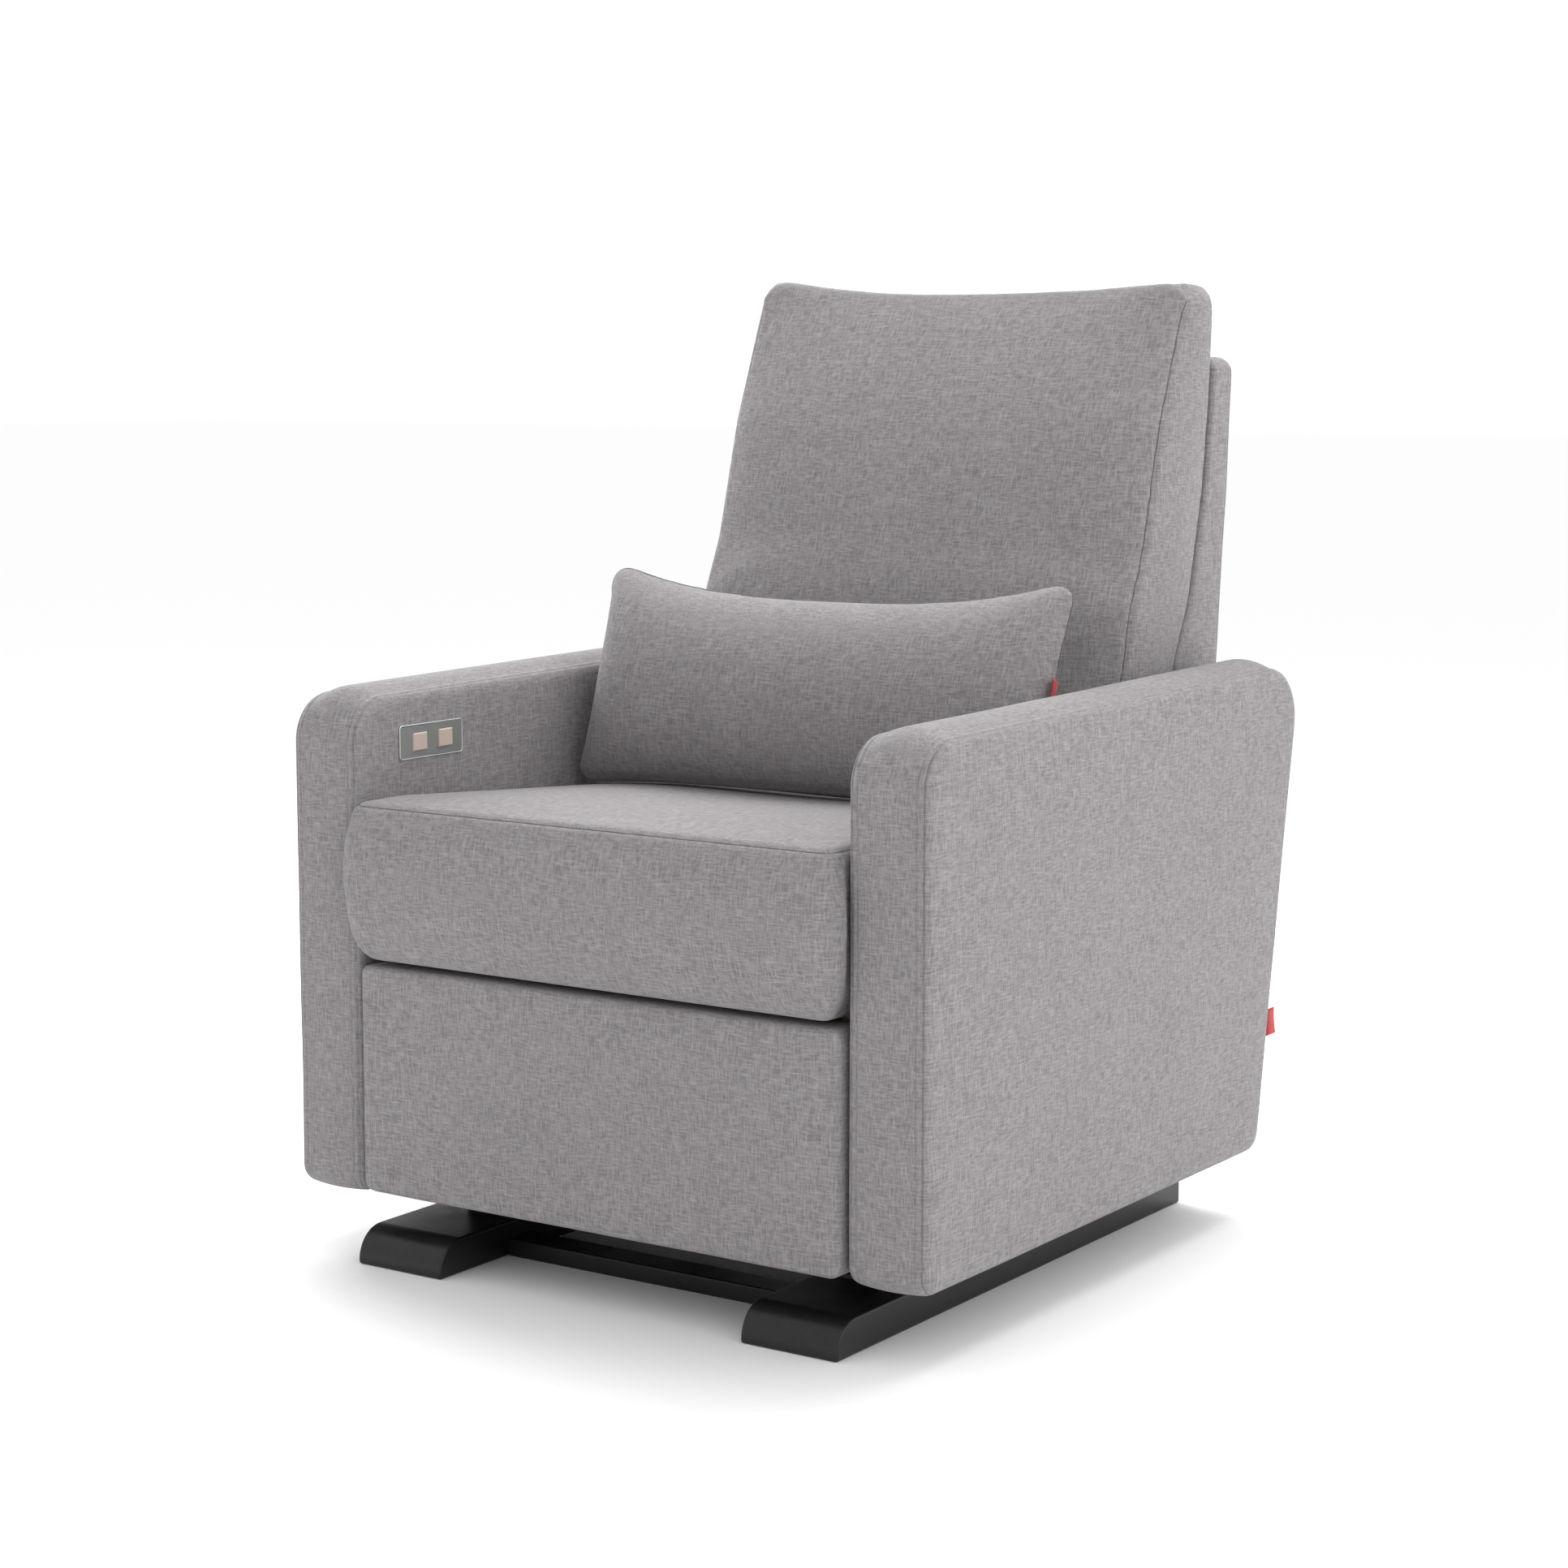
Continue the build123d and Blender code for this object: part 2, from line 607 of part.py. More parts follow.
# ---- every node -----------------------------------------------------------------------
def model():
    left_brackets = base_brackets()
    links = [glide_link(d) for d in GLIDE_DEPTHS]
    inner_left = arm_inner_panel()
    pocket = on_control(control_box_shape(4, -ARM_IN - ARM_SKIN, -ARM_IN))
    return {
        "runner_left": runner(),
        "runner_right": other_side(runner()),
        "front_stretcher": stretcher(FRONT_BAR),
        "rear_stretcher": stretcher(REAR_BAR),
        "base_brackets_left": group(left_brackets),
        "base_brackets_right": group([other_side(s) for s in left_brackets]),
        "glide_top_pins": glide_top_pins(),
        "glide_link_front_left": links[0],
        "glide_link_front_right": other_side(links[0]),
        "glide_link_rear_left": links[1],
        "glide_link_rear_right": other_side(links[1]),
        "mechanism_plate_left": mechanism_plate(),
        "mechanism_plate_right": other_side(mechanism_plate()),
        "carriage_pins": carriage_pins(),
        "cross_rail": cross_rail(),
        "rear_cross_tube": rear_cross_tube(),
        "seat_side_rails": seat_side_rails(),
        "seat_front_rail": seat_rail(58, 98),
        "seat_rear_rail": seat_rail(600, 640),
        "seat_webbing": seat_webbing(),
        "seat_cushion": seat_cushion(),
        "arm_frame_left": arm_frame(),
        "arm_frame_right": group([other_side(s) for s in arm_frame().solids()]),
        "arm_outer_panel_left": arm_outer_panel(),
        "arm_outer_panel_right": other_side(arm_outer_panel()),
        "arm_inner_panel_left": inner_left,
        "arm_inner_panel_right": other_side(inner_left) - pocket,
        "arm_band_left": arm_band(),
        "arm_band_right": other_side(arm_band()),
        "arm_mount_blocks": arm_mount_blocks(),
        "rear_skirt": rear_skirt(),
        "arm_tag": arm_tag(),
        "control_plate": control_plate(),
        "control_housing": control_housing(),
        "button_open": control_button(BUTTON_DEPTHS[0]),
        "button_close": control_button(BUTTON_DEPTHS[1]),
        "drive_rail": drive_rail(),
        "drive_motor": drive_motor(),
        "drive_slider": drive_slider(),
        "control_box": control_box(),
        "footrest_arm_left": footrest_arm(),
        "footrest_arm_right": other_side(footrest_arm()),
        "torque_tube": torque_tube(),
        "follower_arms": both_sides(follower_arm()),
        "footrest_carrier_left": footrest_carrier(),
        "footrest_carrier_right": other_side(footrest_carrier()),
        "footrest_pins": footrest_pins(),
        "footrest_board": footrest_board(),
        "footrest_pad": footrest_pad(),
        "footrest_hinges": footrest_hinges(),
        "back_stiles": back_stiles(),
        "back_rails": back_rails(),
        "back_webbing": back_webbing(),
        "outer_back_panel": outer_back_panel(),
        "back_side_panels": back_side_panels(),
        "back_tail_flap": back_tail_flap(),
        "back_hinges": back_hinges(),
        "back_cushion": back_cushion(),
        "lumbar_pillow": lumbar_pillow(),
        "pillow_tag": pillow_tag(),
    }


os.makedirs("parts", exist_ok=True)
for node, shape in model().items():
    export_step(shape, f"parts/{node}.step")
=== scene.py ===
import json
import math

import bmesh
import bpy
import numpy as np
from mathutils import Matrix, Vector
from mathutils.bvhtree import BVHTree
from mathutils.kdtree import KDTree
from mathutils.noise import noise


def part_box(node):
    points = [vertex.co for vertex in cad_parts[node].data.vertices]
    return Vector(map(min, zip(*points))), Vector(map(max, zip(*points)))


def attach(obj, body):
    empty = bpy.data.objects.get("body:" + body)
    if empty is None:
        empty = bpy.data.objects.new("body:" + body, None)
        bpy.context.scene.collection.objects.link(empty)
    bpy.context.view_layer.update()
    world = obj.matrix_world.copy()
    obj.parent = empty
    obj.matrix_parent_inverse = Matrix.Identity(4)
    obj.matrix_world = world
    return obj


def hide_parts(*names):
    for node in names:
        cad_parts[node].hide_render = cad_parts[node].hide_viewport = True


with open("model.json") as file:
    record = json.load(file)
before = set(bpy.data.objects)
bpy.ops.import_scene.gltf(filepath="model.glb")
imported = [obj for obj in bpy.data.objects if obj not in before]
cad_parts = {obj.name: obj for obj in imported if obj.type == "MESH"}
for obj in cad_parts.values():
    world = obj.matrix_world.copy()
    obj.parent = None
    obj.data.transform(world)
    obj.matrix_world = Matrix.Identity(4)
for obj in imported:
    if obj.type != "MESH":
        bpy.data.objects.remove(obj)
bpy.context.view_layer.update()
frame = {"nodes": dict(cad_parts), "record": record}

# ---- sizes shared by several pieces -----------------------------------------------------
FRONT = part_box("arm_outer_panel_left")[0].y          # the arms' front faces
ARM_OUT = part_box("arm_outer_panel_left")[1].x
ARM_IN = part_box("arm_inner_panel_left")[0].x
ARM_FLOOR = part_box("arm_outer_panel_left")[0].z
ARM_FRONT_TOP = 0.609
ARM_REAR_TOP = 0.6224
ARM_REAR_FOOT = 0.713      # depth of the rear edge at its foot
ARM_REAR_HEAD = 0.803      # and at its top
ARM_CORD = 0.0095          # how far the side seams run below the crest of the top
BACK_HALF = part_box("outer_back_panel")[1].x
BACK_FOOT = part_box("outer_back_panel")[0].z
BACK_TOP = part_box("outer_back_panel")[1].z
# the back's profile, as (depth, height): rear face, and the seams behind and in front of its sides
BACK_REAR = ((0.762, 0.335), (0.808, 0.611), (0.818, 0.724), (0.827, 0.806), (0.834, 0.935), (0.835, 1.1))
REAR_SEAM = ((0.660, 0.300), (0.668, 0.480), (0.697, 0.611), (0.734, 0.683), (0.749, 0.743),
             (0.765, 0.807), (0.779, 0.917), (0.783, 0.995), (0.783, 1.1))
FACE_SEAM = ((0.545, 0.340), (0.536, 0.480), (0.582, 0.620), (0.598, 0.683), (0.625, 0.743),
             (0.662, 0.882), (0.712, 1.005), (0.728, 1.060))


def at(depth):
    """Y of a point that lies a given depth behind the arms' front faces."""
    return FRONT + depth


def depth_on(line, height):
    """Depth of a (depth, height) line at a height."""
    heights = [p[1] for p in line]
    depths = [p[0] for p in line]
    return float(np.interp(height, heights, depths))


# ---- materials --------------------------------------------------------------------------
class Nodes:
    """Short hand for building a material's node tree."""

    def __init__(self, name):
        self.material = bpy.data.materials.new(name)
        self.material.use_nodes = True
        self.tree = self.material.node_tree
        self.shader = self.tree.nodes["Principled BSDF"]

    def add(self, kind, **values):
        node = self.tree.nodes.new(kind)
        for key, value in values.items():
            setattr(node, key, value)
        return node

    def link(self, source, target):
        self.tree.links.new(source, target)

    def put(self, value, socket):
        """Joins a socket, or sets a plain value."""
        if isinstance(value, bpy.types.NodeSocket):
            self.link(value, socket)
        else:
            socket.default_value = value

    def coordinates(self):
        return self.add("ShaderNodeTexCoord")

    def stretched(self, vector, scale):
        node = self.add("ShaderNodeMapping")
        node.inputs["Scale"].default_value = scale
        self.link(vector, node.inputs["Vector"])
        return node.outputs["Vector"]

    def noise(self, vector, scale=1.0, detail=2.0, rough=0.5):
        node = self.add("ShaderNodeTexNoise")
        self.link(vector, node.inputs["Vector"])
        node.inputs["Scale"].default_value = scale
        node.inputs["Detail"].default_value = detail
        node.inputs["Roughness"].default_value = rough
        return node.outputs["Fac"]

    def math(self, operation, a, b=0.0, c=0.0):
        node = self.add("ShaderNodeMath", operation=operation)
        for value, socket in zip((a, b, c), node.inputs):
            self.put(value, socket)
        return node.outputs[0]

    def remap(self, value, low, high, to_low=0.0, to_high=1.0, smooth=False):
        node = self.add("ShaderNodeMapRange")
        node.interpolation_type = "SMOOTHSTEP" if smooth else "LINEAR"
        self.link(value, node.inputs["Value"])
        for key, number in zip(("From Min", "From Max", "To Min", "To Max"), (low, high, to_low, to_high)):
            node.inputs[key].default_value = number
        return node.outputs["Result"]

    def blend(self, factor, a, b):
        """Mix of two numbers."""
        node = self.add("ShaderNodeMix", data_type="FLOAT")
        self.put(factor, node.inputs[0])
        self.put(a, node.inputs[2])
        self.put(b, node.inputs[3])
        return node.outputs[0]

    def tint(self, factor, a, b, mode="MIX"):
        """Mix of two colours."""
        node = self.add("ShaderNodeMix", data_type="RGBA", blend_type=mode)
        self.put(factor, node.inputs[0])
        for value, socket in ((a, node.inputs[6]), (b, node.inputs[7])):
            self.put(value if isinstance(value, bpy.types.NodeSocket) else (*value, 1.0), socket)
        return node.outputs[2]

    def ramp(self, factor, stops):
        node = self.add("ShaderNodeValToRGB")
        ramp = node.color_ramp
        while len(ramp.elements) < len(stops):
            ramp.elements.new(0.5)
        for element, (place, colour) in zip(ramp.elements, stops):
            element.position = place
            element.color = (*colour, 1.0)
        self.link(factor, node.inputs["Fac"])
        return node.outputs["Color"]

    def bump(self, height, strength, distance):
        node = self.add("ShaderNodeBump")
        node.inputs["Strength"].default_value = strength
        node.inputs["Distance"].default_value = distance
        self.link(height, node.inputs["Height"])
        self.link(node.outputs["Normal"], self.shader.inputs["Normal"])

    def set(self, **values):
        for key, value in values.items():
            self.put(value, self.shader.inputs[key.replace("_", " ")])


def heathered_cloth(name, dark, mid, light, sheen):
    """Melange weave: short light and dark slubs along both thread directions, over a fine weave."""
    m = Nodes(name)
    where = m.coordinates()
    spot = where.outputs["Object"]
    split = m.add("ShaderNodeSeparateXYZ")
    m.link(where.outputs["Normal"], split.inputs["Vector"])
    flat = m.remap(m.math("ABSOLUTE", split.outputs["Z"]), 0.55, 0.85, smooth=True)
    sideways = m.remap(m.math("ABSOLUTE", split.outputs["X"]), 0.55, 0.85, smooth=True)
    long, across = 85.0, 640.0
    weft = m.noise(m.stretched(spot, (long, long, across)), detail=2.0)
    warp_front = m.noise(m.stretched(spot, (across, long, long)), detail=2.0)
    warp_side = m.noise(m.stretched(spot, (long, across, long)), detail=2.0)
    warp = m.blend(sideways, warp_front, warp_side)
    weft_flat = m.noise(m.stretched(spot, (long, across, across)), detail=2.0)
    warp_flat = m.noise(m.stretched(spot, (across, long, across)), detail=2.0)
    first = m.blend(flat, weft, weft_flat)
    second = m.blend(flat, warp, warp_flat)
    upper, lower = m.math("MAXIMUM", first, second), m.math("MINIMUM", first, second)
    slub = m.math("MULTIPLY_ADD", upper, 0.68, m.math("MULTIPLY_ADD", lower, 0.32, -0.02))
    speck = m.noise(spot, scale=1500.0, detail=1.0)
    cloudy = m.noise(spot, scale=14.0, detail=2.0)
    tone = m.math("ADD", slub, m.math("MULTIPLY", m.math("SUBTRACT", speck, 0.5), 0.35))
    tone = m.math("ADD", tone, m.math("MULTIPLY", m.math("SUBTRACT", cloudy, 0.5), 0.05))
    colour = m.ramp(tone, ((0.34, dark), (0.5, mid), (0.66, light)))
    m.set(Base_Color=colour, Roughness=m.remap(tone, 0.3, 0.7, 0.95, 0.82))
    m.set(Sheen_Weight=sheen, Sheen_Roughness=0.45, Specular_IOR_Level=0.22)
    m.shader.inputs["Sheen Tint"].default_value = (1.0, 0.98, 0.97, 1.0)
    m.bump(m.math("ADD", upper, m.math("MULTIPLY", speck, 0.5)), 0.4, 0.0010)
    return m.material


def black_lacquer():
    """Satin black lacquer over wood: a faint grain and slightly rubbed edges."""
    m = Nodes("black_lacquer")
    spot = m.coordinates().outputs["Object"]
    grain = m.noise(m.stretched(spot, (160.0, 6.0, 160.0)), detail=5.0, rough=0.6)
    handling = m.noise(spot, scale=22.0, detail=3.0)
    colour = m.tint(m.remap(grain, 0.35, 0.7), (0.004, 0.004, 0.0042), (0.0075, 0.0075, 0.0078))
    m.set(Base_Color=colour, Roughness=m.remap(handling, 0.3, 0.7, 0.3, 0.42))
    m.set(Coat_Weight=0.12, Coat_Roughness=0.22, Specular_IOR_Level=0.38)
    m.bump(grain, 0.12, 0.0006)
    return m.material


def powder_coat():
    """Fine orange-peel black paint on the steel mechanism."""
    m = Nodes("powder_coat")
    spot = m.coordinates().outputs["Object"]
    peel = m.noise(spot, scale=900.0, detail=2.0)
    dust = m.noise(spot, scale=30.0, detail=4.0)
    m.set(Base_Color=m.tint(m.remap(dust, 0.4, 0.75), (0.03, 0.03, 0.032), (0.055, 0.054, 0.052)))
    m.set(Roughness=m.remap(dust, 0.3, 0.7, 0.42, 0.6))
    m.bump(peel, 0.3, 0.0004)
    return m.material


def zinc_steel():
    m = Nodes("zinc_steel")
    spot = m.coordinates().outputs["Object"]
    turned = m.noise(m.stretched(spot, (1400.0, 60.0, 60.0)), detail=2.0)
    m.set(Base_Color=m.tint(turned, (0.45, 0.45, 0.44), (0.66, 0.66, 0.67)), Metallic=1.0)
    m.set(Roughness=m.remap(turned, 0.3, 0.7, 0.28, 0.45))
    m.bump(turned, 0.15, 0.0003)
    return m.material


def sawn_wood():
    """Pale structural timber with growth rings along its length."""
    m = Nodes("sawn_wood")
    spot = m.coordinates().outputs["Object"]
    rings = m.noise(m.stretched(spot, (70.0, 9.0, 70.0)), detail=4.0, rough=0.6)
    pores = m.noise(m.stretched(spot, (900.0, 60.0, 900.0)), detail=2.0)
    colour = m.ramp(rings, ((0.35, (0.36, 0.22, 0.11)), (0.5, (0.52, 0.36, 0.2)), (0.68, (0.64, 0.48, 0.3))))
    m.set(Base_Color=colour, Roughness=0.72)
    m.bump(m.math("ADD", rings, pores), 0.25, 0.0008)
    return m.material


def brushed_plate(name, low, high, metallic):
    """Satin metal, brushed along its length."""
    m = Nodes(name)
    spot = m.coordinates().outputs["Object"]
    brush = m.noise(m.stretched(spot, (40.0, 40.0, 2600.0)), detail=3.0)
    m.set(Base_Color=m.tint(brush, low, high), Metallic=metallic)
    m.set(Roughness=m.remap(brush, 0.3, 0.7, 0.34, 0.48))
    m.bump(brush, 0.12, 0.0002)
    return m.material


def satin_plastic(name, low, high, rough):
    m = Nodes(name)
    spot = m.coordinates().outputs["Object"]
    fine = m.noise(spot, scale=1600.0, detail=2.0)
    soft = m.noise(spot, scale=60.0, detail=2.0)
    m.set(Base_Color=m.tint(soft, low, high), Roughness=rough)
    m.bump(fine, 0.15, 0.0003)
    return m.material


def woven_strap(name, low, high, pitch):
    """Ribbed webbing or label cloth."""
    m = Nodes(name)
    spot = m.coordinates().outputs["Object"]
    ribs = m.add("ShaderNodeTexWave", bands_direction="DIAGONAL")
    m.link(spot, ribs.inputs["Vector"])
    ribs.inputs["Scale"].default_value = pitch
    ribs.inputs["Distortion"].default_value = 1.5
    fuzz = m.noise(spot, scale=1200.0, detail=2.0)
    mix = m.math("MULTIPLY_ADD", ribs.outputs["Fac"], 0.6, m.math("MULTIPLY", fuzz, 0.4))
    m.set(Base_Color=m.tint(mix, low, high), Roughness=0.85, Sheen_Weight=0.2)
    m.bump(mix, 0.5, 0.0005)
    return m.material


def studio_floor():
    m = Nodes("studio_floor")
    spot = m.coordinates().outputs["Object"]
    grit = m.noise(spot, scale=40.0, detail=3.0)
    m.set(Base_Color=m.tint(grit, (0.95, 0.95, 0.95), (0.98, 0.98, 0.98)), Roughness=0.9)
    return m.material


CLOTH = heathered_cloth("heathered_cloth", (0.172, 0.162, 0.165), (0.248, 0.235, 0.238),
                        (0.33, 0.314, 0.318), 0.12)
# same weave as the upholstery at about half its brightness: painted shade along the seams
PAINTED_SEAM_SHADE = heathered_cloth("painted_seam_shade_cloth", (0.085, 0.08, 0.081), (0.13, 0.122, 0.124),
                       (0.18, 0.17, 0.172), 0.1)
LACQUER = black_lacquer()
POWDER = powder_coat()
ZINC = zinc_steel()
TIMBER = sawn_wood()
PLATE = brushed_plate("brushed_plate", (0.33, 0.36, 0.345), (0.46, 0.49, 0.47), 0.75)
# rim metal lighter than the plate: painted highlight along the control plate's edges
EDGE_HIGHLIGHT_METAL = brushed_plate("painted_edge_highlight", (0.62, 0.66, 0.64), (0.74, 0.78, 0.76), 0.85)
BUTTON = satin_plastic("rose_button", (0.50, 0.40, 0.35), (0.56, 0.46, 0.41), 0.42)
BLACK_PLASTIC = satin_plastic("black_plastic", (0.018, 0.018, 0.019), (0.03, 0.03, 0.031), 0.5)
WEBBING = woven_strap("webbing", (0.02, 0.02, 0.021), (0.06, 0.06, 0.062), 500.0)
LABEL = woven_strap("label_cloth", (0.36, 0.012, 0.016), (0.52, 0.03, 0.035), 900.0)
DUST_CLOTH = woven_strap("dust_cloth", (0.012, 0.012, 0.013), (0.03, 0.03, 0.031), 700.0)

SLOT_MATERIALS = {
    "upholstery": CLOTH,
    "pillow_cloth": CLOTH,
    "base_paint": LACQUER,
    "mechanism_paint": POWDER,
    "bright_steel": ZINC,
    "frame_wood": TIMBER,
    "control_metal": PLATE,
    "button_plastic": BUTTON,
    "dark_plastic": BLACK_PLASTIC,
    "label_cloth": LABEL,
    "webbing_cloth": WEBBING,
    "dust_cloth": DUST_CLOTH,
}


def paint_cad_nodes():
    """Gives each carried-over node the material of its slot."""
    for part in frame["record"]["subparts"]:
        node = frame["nodes"][part["node"]]
        node.data.materials.clear()
        node.data.materials.append(SLOT_MATERIALS[part["material_slot"]])


# ---- mesh helpers -----------------------------------------------------------------------
def new_object(name, points, faces, material):
    mesh = bpy.data.meshes.new(name)
    mesh.from_pydata([tuple(p) for p in points], [], faces)
    mesh.materials.append(material)
    obj = bpy.data.objects.new(name, mesh)
    bpy.context.scene.collection.objects.link(obj)
    bm = bmesh.new()
    bm.from_mesh(mesh)
    bmesh.ops.recalc_face_normals(bm, faces=bm.faces)
    bm.to_mesh(mesh)
    bm.free()
    mesh.shade_smooth()
    return obj


def rounded(corners, spacing=0.009):
    """Closed outline round corners (a, b, radius), with points along its straights and arcs."""
    points = []
    count = len(corners)
    for i, (a, b, radius) in enumerate(corners):
        corner = Vector((a, b))
        back = (Vector(corners[i - 1][:2]) - corner).normalized()
        ahead = (Vector(corners[(i + 1) % count][:2]) - corner).normalized()
        half = back.angle(ahead) / 2
        cut = radius / math.tan(half)
        centre = corner + (back + ahead).normalized() * (radius / math.sin(half))
        turn = math.pi - 2 * half
        sign = 1.0 if back.cross(ahead) < 0 else -1.0
        steps = max(3, int(radius * turn / (0.45 * spacing)))
        arm = corner + back * cut - centre
        for k in range(steps + 1):
            angle = sign * turn * k / steps
            c, s = math.cos(angle), math.sin(angle)
            points.append(centre + Vector((arm.x * c - arm.y * s, arm.x * s + arm.y * c)))
        following = corners[(i + 1) % count]
        nxt = Vector(following[:2])
        onward = (Vector(corners[(i + 2) % count][:2]) - nxt).normalized()
        next_half = (-ahead).angle(onward) / 2
        start = corner + ahead * cut
        end = nxt - ahead * (following[2] / math.tan(next_half))
        parts = max(1, int((end - start).length / spacing))
        points += [start.lerp(end, k / parts) for k in range(1, parts)]
    return np.array([tuple(p) for p in points])


def outward(ring):
    """Unit normals that point out of a closed outline."""
    tangent = np.roll(ring, -1, 0) - np.roll(ring, 1, 0)
    tangent /= np.linalg.norm(tangent, axis=1)[:, None] + 1e-12
    normal = np.stack([tangent[:, 1], -tangent[:, 0]], 1)
    area = np.sum(ring[:, 0] * np.roll(ring[:, 1], -1) - np.roll(ring[:, 0], -1) * ring[:, 1])
    return normal if area > 0 else -normal


def shell(name, ring, section, place, material, first_crown=0.0, last_crown=0.0, cap_rings=14):
    """Closed upholstered form. Each (c, inset) of the section is a copy of the ring, and either of
    them may differ from point to point. Both ends close with a face that swells by its crown.
    place turns (a, b, c) into a point."""
    normals = outward(ring)
    low, high = ring.min(0), ring.max(0)
    middle, half = (low + high) / 2, (high - low) / 2
    count = len(ring)

    def spread(value):
        return np.broadcast_to(np.asarray(value, float), (count,))

    def drawn_in(inset):
        return ring - normals * spread(inset)[:, None]

    def cap(c, inset, crown):
        rim = drawn_in(inset)
        rings = []
        for k in range(1, cap_rings):
            t = k / cap_rings
            level = middle + (rim - middle) * (1 - t)
            u, v = np.clip(np.abs((level - middle) / half), 0, 1).T
            swell = crown * (1 - u ** 5) * (1 - v ** 5)
            rings.append((level, spread(c) + swell))
        return rings, float(np.mean(c)) + crown

    first, first_pole = cap(*section[0], -first_crown)
    last, last_pole = cap(*section[-1], last_crown)
    levels = list(reversed(first))
    levels += [(drawn_in(inset), spread(c)) for c, inset in section]
    levels += last
    points = [place(a, b, c) for level, cs in levels for (a, b), c in zip(level, cs)]
    faces = []
    for row in range(len(levels) - 1):
        for i in range(count):
            j = (i + 1) % count
            faces.append((row * count + i, row * count + j, (row + 1) * count + j, (row + 1) * count + i))
    points.append(place(*middle, first_pole))
    points.append(place(*middle, last_pole))
    top = (len(levels) - 1) * count
    for i in range(count):
        j = (i + 1) % count
        faces.append((len(points) - 2, j, i))
        faces.append((len(points) - 1, top + i, top + j))
    return new_object(name, points, faces, material)


def coords(obj):
    co = np.empty(len(obj.data.vertices) * 3)
    obj.data.vertices.foreach_get("co", co)
    return co.reshape(-1, 3)


def set_coords(obj, co):
    obj.data.vertices.foreach_set("co", np.ascontiguousarray(co, dtype=np.float64).ravel())
    obj.data.update()


def vertex_normals(obj):
    no = np.empty(len(obj.data.vertices) * 3)
    obj.data.vertices.foreach_get("normal", no)
    return no.reshape(-1, 3)


def unevenness(obj, height, wave, seed):
    """Slow swell of padding under cloth."""
    co = coords(obj)
    shift = Vector((seed * 3.1, seed * 1.7, seed * 2.3))
    swell = np.array([noise(Vector(p) / wave + shift) for p in co])
    set_coords(obj, co + vertex_normals(obj) * (swell * height)[:, None])


def along(path, step=0.003, closed=False):
    """Points every step along a path."""
    path = np.asarray(path, float)
    if closed:
        path = np.vstack([path, path[:1]])
    lengths = np.linalg.norm(np.diff(path, axis=0), axis=1)
    total = np.concatenate([[0], np.cumsum(lengths)])
    places = np.linspace(0, total[-1], max(2, int(total[-1] / step)))
    return np.stack([np.interp(places, total, path[:, k]) for k in range(3)], 1)


def distance_to(points, seam):
    tree = KDTree(len(seam))
    for i, p in enumerate(seam):
        tree.insert(p, i)
    tree.balance()
    return np.array([tree.find(p)[2] for p in points])


def apply_modifier(obj, modifier):
    with bpy.context.temp_override(object=obj, active_object=obj, selected_objects=[obj]):
        bpy.ops.object.modifier_apply(modifier=modifier.name)


def remeshed(obj, voxel):
    modifier = obj.modifiers.new("remesh", "REMESH")
    modifier.mode = "VOXEL"
    modifier.voxel_size = voxel
    apply_modifier(obj, modifier)


def subdivided(obj):
    modifier = obj.modifiers.new("subdivision", "SUBSURF")
    modifier.levels = 1
    modifier.render_levels = 1
    apply_modifier(obj, modifier)
    obj.data.shade_smooth()


SEAM_REACH = 0.0045          # cloth this near a seam is held by it
SIM_FRAMES = 20
STIFFNESS = 12.0


def puff(obj, seams, voxel, pressure, cap):
    """Stuffs a cushion: its panels swell under pressure between the seams, which stay put."""
    remeshed(obj, voxel)
    rest = coords(obj)
    near = distance_to(rest, np.vstack(seams))
    pinned = obj.vertex_groups.new(name="seams")
    for i in np.nonzero(near < SEAM_REACH + voxel * 0.5)[0]:
        pinned.add([int(i)], 1.0, "REPLACE")
    modifier = obj.modifiers.new("cloth", "CLOTH")
    cloth = modifier.settings
    cloth.quality = 5
    cloth.mass = 0.3
    cloth.tension_stiffness = STIFFNESS
    cloth.compression_stiffness = STIFFNESS * 0.6
    cloth.shear_stiffness = STIFFNESS * 0.3
    cloth.bending_stiffness = 0.3
    cloth.use_pressure = True
    cloth.uniform_pressure_force = pressure
    cloth.vertex_group_mass = "seams"
    cloth.pin_stiffness = 1.0
    cloth.effector_weights.gravity = 0.0
    modifier.collision_settings.use_collision = False
    modifier.point_cache.frame_start = 1
    modifier.point_cache.frame_end = SIM_FRAMES
    scene = bpy.context.scene
    for number in range(1, SIM_FRAMES + 1):
        scene.frame_set(number)
    graph = bpy.context.evaluated_depsgraph_get()
    swollen = coords(obj.evaluated_get(graph))
    scene.frame_set(1)
    obj.modifiers.remove(modifier)
    obj.vertex_groups.clear()
    move = swollen - rest
    length = np.linalg.norm(move, axis=1)
    allowed = cap * np.tanh(length / cap)
    move *= (allowed / np.maximum(length, 1e-9))[:, None]
    set_coords(obj, rest + move)
    subdivided(obj)


def sew(obj, seam, depth, width):
    """Draws the cloth in along a seam."""
    co = coords(obj)
    pull = depth * np.exp(-((distance_to(co, seam) / width) ** 2))
    set_coords(obj, co - vertex_normals(obj) * pull[:, None])


def welt(name, path, radius, material, closed=False):
    """Thin rolled seam along a path."""
    curve = bpy.data.curves.new(name, "CURVE")
    curve.dimensions = "3D"
    spline = curve.splines.new("POLY")
    spline.points.add(len(path) - 1)
    spline.points.foreach_set("co", np.hstack([path, np.ones((len(path), 1))]).ravel())
    spline.use_cyclic_u = closed
    curve.bevel_depth = radius
    curve.bevel_resolution = 2
    curve.use_fill_caps = not closed
    source = bpy.data.objects.new(name + "_curve", curve)
    mesh = bpy.data.meshes.new_from_object(source)
    bpy.data.objects.remove(source)
    mesh.name = name
    mesh.materials.clear()
    mesh.materials.append(material)
    mesh.shade_smooth()
    obj = bpy.data.objects.new(name, mesh)
    bpy.context.scene.collection.objects.link(obj)
    return obj


